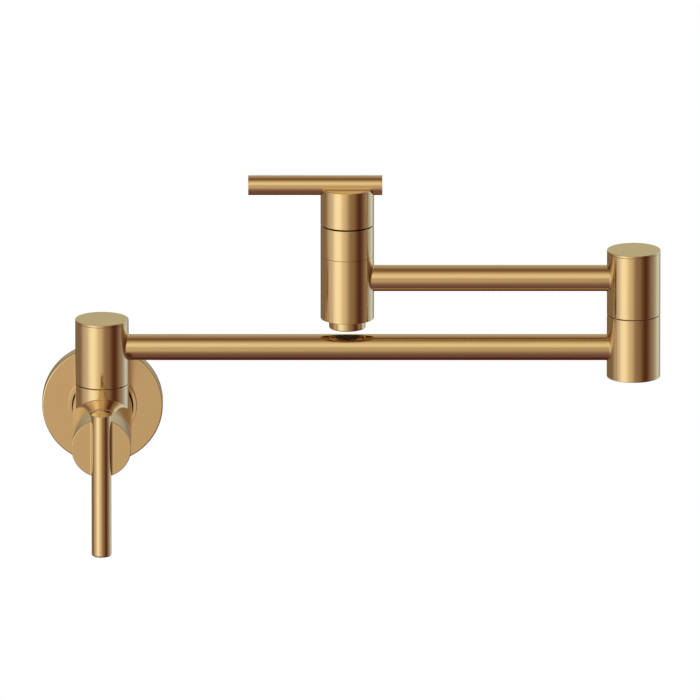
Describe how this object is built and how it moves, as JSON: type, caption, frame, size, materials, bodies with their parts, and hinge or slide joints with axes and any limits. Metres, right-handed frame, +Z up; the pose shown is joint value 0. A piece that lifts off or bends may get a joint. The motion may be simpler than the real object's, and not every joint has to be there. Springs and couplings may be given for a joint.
{
  "type": "wall mounted pot filler",
  "caption": "Folding wall tap: a post swivel, a long lower arm, an elbow, a shorter upper arm and an upright spout, with a lever valve at the wall and a cross-bar valve on the spout.",
  "frame": {"origin": "centre of the cover plate's back face, on the inlet axis, in the plane of the wall", "axes": "+X along the folded arms from post to elbow, +Y into the wall, +Z up"},
  "size_m": [0.3783, 0.116, 0.2232],
  "materials": {
    "brushed_gold": "satin gold coating on turned brass",
    "raw_brass": "machined",
    "stainless": "plain",
    "spring_steel": "phosphated",
    "rubber": "matt",
    "acetal": "natural",
    "dark_acetal": "moulded",
    "ceramic": "lapped"
  },
  "bodies": {
    "wall_side": {"wall_plate": "brushed_gold", "wall_gasket": "rubber", "plate_set_screw": "stainless", "valve_body": "brushed_gold", "inlet_washer": "rubber", "inlet_filter": "stainless", "wall_cartridge_body": "raw_brass", "wall_cartridge_seal": "rubber", "wall_cartridge_o_ring": "rubber", "wall_fixed_disc": "ceramic", "wall_cartridge_nut": "raw_brass", "post_spindle": "raw_brass", "post_thrust_washer": "acetal", "post_o_ring_lower": "rubber", "post_o_ring_upper": "rubber", "post_retaining_washer": "acetal", "post_circlip": "spring_steel"},
    "wall_handle": {"wall_knob": "brushed_gold", "wall_lever": "brushed_gold", "wall_lever_screw_a": "stainless", "wall_lever_screw_b": "stainless", "wall_knob_screw": "stainless", "wall_stem": "raw_brass", "wall_stem_o_ring": "rubber", "wall_turning_disc": "ceramic"},
    "lower_arm": {"post_head": "brushed_gold", "post_cap": "brushed_gold", "lower_arm_tube": "brushed_gold", "elbow_lower_head": "brushed_gold", "elbow_spindle": "raw_brass", "elbow_thrust_washer": "acetal", "elbow_o_ring_lower": "rubber", "elbow_o_ring_upper": "rubber", "elbow_retaining_washer": "acetal", "elbow_circlip": "spring_steel"},
    "upper_arm": {"elbow_upper_head": "brushed_gold", "elbow_cap": "brushed_gold", "upper_arm_tube": "brushed_gold", "spout_body": "brushed_gold", "spout_bonnet": "brushed_gold", "aerator_housing": "brushed_gold", "aerator_insert": "dark_acetal", "aerator_washer": "rubber", "spout_cartridge_body": "raw_brass", "spout_cartridge_seal": "rubber", "spout_cartridge_o_ring": "rubber", "spout_fixed_disc": "ceramic", "spout_cartridge_nut": "raw_brass"},
    "spout_handle": {"spout_knob": "brushed_gold", "spout_bar": "brushed_gold", "spout_bar_screw_a": "stainless", "spout_bar_screw_b": "stainless", "spout_knob_screw": "stainless", "spout_stem": "raw_brass", "spout_stem_o_ring": "rubber", "spout_turning_disc": "ceramic"}
  },
  "joints": [
    {"name": "wall_handle_turn", "type": "hinge", "parent": "wall_side", "child": "wall_handle", "pos_m": [0, -0.1, 0], "axis": [0, -1, 0], "range_deg": [0, 90]},
    {"name": "post_swivel", "type": "hinge", "parent": "wall_side", "child": "lower_arm", "pos_m": [0, -0.047, 0.0472], "axis": [0, 0, 1], "range_deg": [-180, 0]},
    {"name": "elbow_swivel", "type": "hinge", "parent": "lower_arm", "child": "upper_arm", "pos_m": [0.325, -0.047, 0.0681], "axis": [0, 0, 1], "continuous": true},
    {"name": "spout_handle_turn", "type": "hinge", "parent": "upper_arm", "child": "spout_handle", "pos_m": [0.15, -0.047, 0.13], "axis": [0, 0, 1], "range_deg": [0, 90]}
  ]
}
